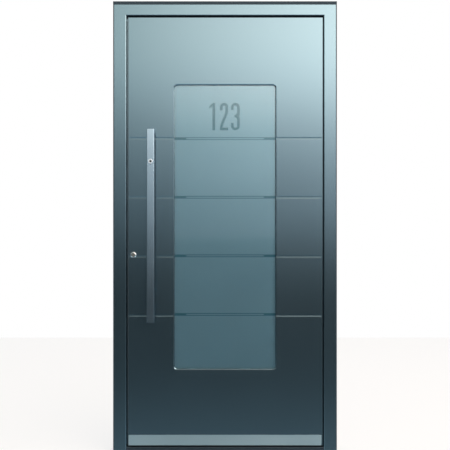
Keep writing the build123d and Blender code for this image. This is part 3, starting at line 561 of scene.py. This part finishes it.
def makeGapSealAndShade(size):  # a flat rubber seal deep in the gap, on the hinge side and the top, coloured as painted shade for the dark of the gap
    skinLow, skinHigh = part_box("outer_skin")
    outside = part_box("hinge_jamb_outer")[0].x + size["underJamb"]
    inside = skinHigh.x + size["clearOfSkin"]
    top, bottom = skinHigh.z + outside - skinHigh.x, skinLow.z
    edge = skinHigh.z + size["clearOfSkin"]
    loop = [(-inside, edge), (inside, edge), (inside, bottom), (outside, bottom),
            (outside, top), (-inside, top)]
    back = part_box("hinge_stile_inner")[0].y - size["lift"]
    seal = flatPiece("gapSealAndShade", [loop], back - size["thickness"], back)
    fitPiece(seal, softs["gapShadeRubber"], "leaf")


leafEdge = {"gap": 0.0001, "back": 0.0003, "depth": 0.0035,
            "hingeReach": 0.0048, "lockReach": 0.0034}


def makeLeafEdge(size):  # strips that narrow the gap: painted by the hinges, rubber by the lock, the rubber in the gap's painted-shade colour
    skinLow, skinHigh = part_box("outer_skin")
    front, back = skinLow.y + size["back"], skinLow.y + size["depth"]
    hinge = ring(skinHigh.x + size["gap"], skinHigh.x + size["hingeReach"], skinLow.z, skinHigh.z)
    lock = ring(skinLow.x - size["lockReach"], skinLow.x - size["gap"], skinLow.z, skinHigh.z)
    fitPiece(flatPiece("leafEdge", [hinge], front, back), paint, "leaf")
    fitPiece(flatPiece("lockEdgeLip", [lock], front, back), softs["gapShadeRubber"], "leaf")


headShadeLip = {"from": 0.0036, "to": 0.0058, "gap": 0.0001}


def makeHeadShadeLip(size):  # painted shade: a thin dark strip lying on the head's face under the sealing strip, for the soft shade below the strip
    headLow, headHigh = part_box("head_outer")
    loop = ring(headLow.x, headHigh.x, headHigh.z - size["to"], headHigh.z - size["from"])
    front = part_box("wall_seal_strips")[0].y + size["gap"]
    lip = flatPiece("headShadeLip", [loop], front, headLow.y - size["gap"])
    fitPiece(lip, softs["wallStrip"], "frame")


makeGapSealAndShade(gapSealAndShade)
makeLeafEdge(leafEdge)
makeHeadShadeLip(headShadeLip)
print("seals and edges: done")


# Screw heads on the hinges, the lock's front and the strikes
screwLook = {
    "radius": 0.0042, "proud": 0.0005, "edge": 0.0005, "steps": 24,
    "socket": 0.0019, "socketDepth": 0.0012, "socketSides": 6,
    "hingeAt": [0.250, 1.101, 1.952], "wingFace": 0.049,  # hinge middles, and the wings' face
    "wingDrop": 0.026, "hingeFromAxis": 0.022, "hingeSpread": 0.017,
    "plateEnd": 0.009, "hookPlate": 0.094,
    "frontEnd": 0.010, "frontAt": [0.905, 1.142, 0.620, 1.420],
}


def screwHead(mesh, place, normal, size):  # a flat head with a six-sided socket
    along = Vector(normal)
    side = along.orthogonal().normalized()
    up = along.cross(side)
    steps = size["steps"]

    def loop(radius, height, sides=0):
        made = []
        for i in range(steps):
            turn = 2 * math.pi * i / steps
            reach = radius
            if sides:
                part = 2 * math.pi / sides
                reach = radius * math.cos(part / 2) / math.cos(turn % part - part / 2)
            outward = side * math.cos(turn) + up * math.sin(turn)
            made.append(mesh.verts.new(place + along * height + outward * reach))
        return made

    radius, proud, edge = size["radius"], size["proud"], size["edge"]
    socket, sides = size["socket"], size["socketSides"]
    loops = [loop(radius, 0), loop(radius, proud - edge / 2), loop(radius - edge, proud),
             loop(socket, proud, sides), loop(socket, proud - size["socketDepth"], sides)]
    for first, second in zip(loops, loops[1:]):
        for i in range(steps):
            j = (i + 1) % steps
            mesh.faces.new((first[i], first[j], second[j], second[i]))
    mesh.faces.new(loops[-1])
    mesh.faces.new(loops[0][::-1])


def screwSet(name, places, body, size):
    mesh = bmesh.new()
    for place, normal in places:
        screwHead(mesh, Vector(place), normal, size)
    bmesh.ops.recalc_face_normals(mesh, faces=mesh.faces)
    data = bpy.data.meshes.new(name)
    mesh.to_mesh(data)
    mesh.free()
    piece = bpy.data.objects.new(name, data)
    bpy.context.scene.collection.objects.link(piece)
    fitPiece(piece, steels["zincSteel"], body)


def hingeScrews(side, size):  # side is 1 on the frame's wings and -1 on the leaf's
    swing = next(joint for joint in frame["joints"] if joint["name"] == "leaf_swing")
    x = swing["pos_m"][0] + side * size["hingeFromAxis"]
    places = []
    for middle in size["hingeAt"]:
        centre = middle - side * size["wingDrop"]
        for step in (-1, 1):
            places.append(((x, size["wingFace"], centre + step * size["hingeSpread"]), (0, 1, 0)))
    return places


def makeScrews(size):
    frontLow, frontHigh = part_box("lock_faceplate")
    mainLow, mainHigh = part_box("main_strike")
    hookLow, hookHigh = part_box("hook_strikes")
    lockY = (frontLow.y + frontHigh.y) / 2
    plates = [(mainLow.z, mainHigh.z), (hookLow.z, hookLow.z + size["hookPlate"]),
              (hookHigh.z - size["hookPlate"], hookHigh.z)]
    strikes = [((mainHigh.x, lockY, z), (1, 0, 0)) for low, high in plates
               for z in (low + size["plateEnd"], high - size["plateEnd"])]
    ends = [frontLow.z + size["frontEnd"], frontHigh.z - size["frontEnd"]]
    front = [((frontLow.x, lockY, z), (-1, 0, 0)) for z in ends + size["frontAt"]]
    screwSet("hingeFrameScrews", hingeScrews(1, size), "frame", size)
    screwSet("hingeLeafScrews", hingeScrews(-1, size), "leaf", size)
    screwSet("strikeScrews", strikes, "frame", size)
    screwSet("lockFrontScrews", front, "leaf", size)


makeScrews(screwLook)
print("screws: done")


# Stage: floor, graded light dome, world and camera
stageLook = {
    "floorX": 4.0, "floorFront": -0.065, "floorBack": 4.5,
    "floorColor": linear(246, 246, 245), "floorRoughness": 0.9,
    "floorLift": 0.75,  # how far the floor goes to plain white where it is looked at
    "domeRadius": 11.0, "domeHeight": 1.11, "domeSegments": 48, "domeStrength": 5.5,
    "skyStops": [(-90, 0.04), (-60, 0.02), (-50, 0.03), (-47, 0.06), (-44, 0.16), (-38, 0.30),
                 (-30, 0.24), (-20, 0.10), (-13, 0.015), (-5, 0.009), (-1.4, 0.022),
                 (-0.9, 0.14), (2, 0.16), (5, 0.265), (8, 0.30), (12, 0.79), (16, 1.0),
                 (22, 0.88), (28, 0.48), (34, 0.16), (40, 0.08), (44, 0.16), (48, 0.38),
                 (52, 0.60), (65, 0.50), (90, 0.30)],  # elevation and level
    "skyTint": (0.97, 1.0, 0.92), "groundTint": (0.79, 1.0, 1.11), "tintSpan": (2, 16),
    "sideStops": [(-1.0, 0.12), (-0.70, 0.12), (-0.45, 0.16), (-0.24, 0.235), (0.30, 0.90),
                  (0.45, 1.20), (0.55, 1.05), (0.62, 0.50), (0.78, 0.40), (0.88, 0.95),
                  (1.0, 1.15)],
    "groundSides": [(-1.0, 0.3), (-0.75, 0.9), (-0.50, 1.2), (-0.28, 0.46), (0.28, 0.46),
                    (0.50, 1.2), (0.75, 1.6), (1.0, 1.4)],  # low light comes from both sides
    "groundBlend": (-0.12, 0.02),
    "warmFrom": 0.2, "warmTint": (1.24, 1.0, 0.94),
    "backLevel": 0.18,
    "backStops": [(-90, 0.60), (-40, 0.70), (-22, 0.80), (-8, 0.70), (4, 0.60), (20, 0.80),
                  (45, 1.00), (90, 0.90)],
    "backSides": [(-1.0, 0.25), (-0.85, 0.55), (-0.45, 1.05), (0.10, 0.85), (0.60, 0.70),
                  (0.85, 0.45), (1.0, 0.20)],
    "backSeam": (-0.05, 0.10),  # where the light in front passes into the light behind
    "ambient": 0.75,
}


def seenRay(tree):  # 1 for rays that look at a surface, straight or in metal and glass
    path = addNode(tree, "LightPath")
    seen = mathNode(tree, "MAXIMUM", path.outputs["Is Camera Ray"], path.outputs["Is Glossy Ray"])
    return mathNode(tree, "MAXIMUM", seen, path.outputs["Is Transmission Ray"])


def makeFloor(look):
    mesh = bpy.data.meshes.new("floor")
    corners = ring(-look["floorX"], look["floorX"], look["floorFront"], look["floorBack"])
    mesh.from_pydata([(x, y, 0) for x, y in corners], [], [(0, 1, 2, 3)])
    floor = bpy.data.objects.new("floor", mesh)
    bpy.context.scene.collection.objects.link(floor)
    material = bpy.data.materials.new("paleFloor")
    material.use_nodes = True
    tree = material.node_tree
    shader = tree.nodes["Principled BSDF"]
    fill(shader, {"Base Color": look["floorColor"], "Roughness": look["floorRoughness"]})
    glow = addNode(tree, "Emission")
    mix = addNode(tree, "MixShader")
    lift = mathNode(tree, "MULTIPLY", seenRay(tree), look["floorLift"])
    tree.links.new(lift, mix.inputs["Fac"])
    tree.links.new(shader.outputs["BSDF"], mix.inputs[1])
    tree.links.new(glow.outputs["Emission"], mix.inputs[2])
    tree.links.new(mix.outputs["Shader"], tree.nodes["Material Output"].inputs["Surface"])
    mesh.materials.append(material)


def addRamp(tree, source, stops):  # stops hold a place from -1 to 1 and a colour
    ramp = addNode(tree, "ValToRGB")
    while len(ramp.color_ramp.elements) < len(stops):
        ramp.color_ramp.elements.new(0.5)
    for element, (place, color) in zip(ramp.color_ramp.elements, stops):
        element.position = (place + 1) / 2
        element.color = tuple(color) + (1,)
    tree.links.new(mapRange(tree, source, 0.0, 1.0, -1.0, 1.0), ramp.inputs["Fac"])
    return ramp.outputs["Color"]


def mixColors(tree, first, second, factor=1.0, blend="MIX"):
    node = addNode(tree, "Mix", data_type="RGBA", blend_type=blend)
    for value, label in ((factor, "Factor"), (first, "A"), (second, "B")):
        plug(tree, value, node.inputs[label])
    return node.outputs["Result"]


def heightStops(look, stops, tinted):
    start, end = look["tintSpan"]
    made = []
    for angle, level in stops:
        warm = min(max((angle - start) / (end - start), 0), 1)
        tint = [g + (s - g) * warm if tinted else 1
                for g, s in zip(look["groundTint"], look["skyTint"])]
        made.append((math.sin(math.radians(angle)), [level * t for t in tint]))
    return made


def sideStops(look, stops, tinted):
    warm = look["warmTint"]
    return [(across, [level * (t if tinted and across > look["warmFrom"] else 1) for t in warm])
            for across, level in stops]


def domeColor(tree, look):
    unit = addNode(tree, "VectorMath", operation="NORMALIZE")
    tree.links.new(addNode(tree, "TexCoord").outputs["Object"], unit.inputs[0])
    axes = addNode(tree, "SeparateXYZ")
    tree.links.new(unit.outputs["Vector"], axes.inputs["Vector"])
    across, depth, height = axes.outputs["X"], axes.outputs["Y"], axes.outputs["Z"]
    sky = addRamp(tree, height, heightStops(look, look["skyStops"], True))
    side = addRamp(tree, across, sideStops(look, look["sideStops"], True))
    ground = addRamp(tree, across, sideStops(look, look["groundSides"], False))
    side = mixColors(tree, ground, side, mapRange(tree, height, 0.0, 1.0, *look["groundBlend"]))
    front = mixColors(tree, sky, side, blend="MULTIPLY")
    back = addRamp(tree, height, heightStops(look, look["backStops"], False))
    backSide = addRamp(tree, across, sideStops(look, look["backSides"], False))
    back = mixColors(tree, back, backSide, blend="MULTIPLY")
    back = mixColors(tree, back, (look["backLevel"],) * 3 + (1,), blend="MULTIPLY")
    return mixColors(tree, front, back, mapRange(tree, depth, 0.0, 1.0, *look["backSeam"]))


def makeDome(look):  # graded light all round: bright above and dark below in front, softer behind
    mesh = bmesh.new()
    bmesh.ops.create_uvsphere(mesh, u_segments=look["domeSegments"],
                              v_segments=look["domeSegments"] // 2, radius=look["domeRadius"])
    data = bpy.data.meshes.new("lightDome")
    mesh.to_mesh(data)
    mesh.free()
    dome = bpy.data.objects.new("lightDome", data)
    dome.location = (0, 0, look["domeHeight"])
    bpy.context.scene.collection.objects.link(dome)
    dome.visible_camera = False
    material = bpy.data.materials.new("domeLight")
    material.use_nodes = True
    tree = material.node_tree
    tree.nodes.clear()
    light = addNode(tree, "Emission")
    fill(light, {"Strength": look["domeStrength"]})
    tree.links.new(domeColor(tree, look), light.inputs["Color"])
    output = addNode(tree, "OutputMaterial")
    tree.links.new(light.outputs["Emission"], output.inputs["Surface"])
    data.materials.append(material)


def makeWorld(look):  # white for the camera, metal and glass; a softer level lights the rest
    world = bpy.data.worlds.new("studio")
    bpy.context.scene.world = world
    world.use_nodes = True
    tree = world.node_tree
    back = tree.nodes["Background"]
    fill(back, {"Color": (1, 1, 1, 1)})
    tree.links.new(mapRange(tree, seenRay(tree), look["ambient"], 1.0), back.inputs["Strength"])


# The lens shows a width of "across" at the door's face
cameraLook = {"distance": 4.5, "height": 1.1126, "across": 2.2120, "faceY": -0.045, "sensor": 36.0}


def makeCamera(look):
    data = bpy.data.cameras.new("photoCamera")
    camera = bpy.data.objects.new("photoCamera", data)
    bpy.context.scene.collection.objects.link(camera)
    data.sensor_width = look["sensor"]
    data.lens = look["sensor"] * look["distance"] / look["across"]
    camera.location = (0, look["faceY"] - look["distance"], look["height"])
    camera.rotation_euler = (math.pi / 2, 0, 0)
    bpy.context.scene.camera = camera


makeFloor(stageLook)
makeDome(stageLook)
makeWorld(stageLook)
makeCamera(cameraLook)
bpy.context.scene.view_settings.view_transform = "Standard"
print("stage: done")
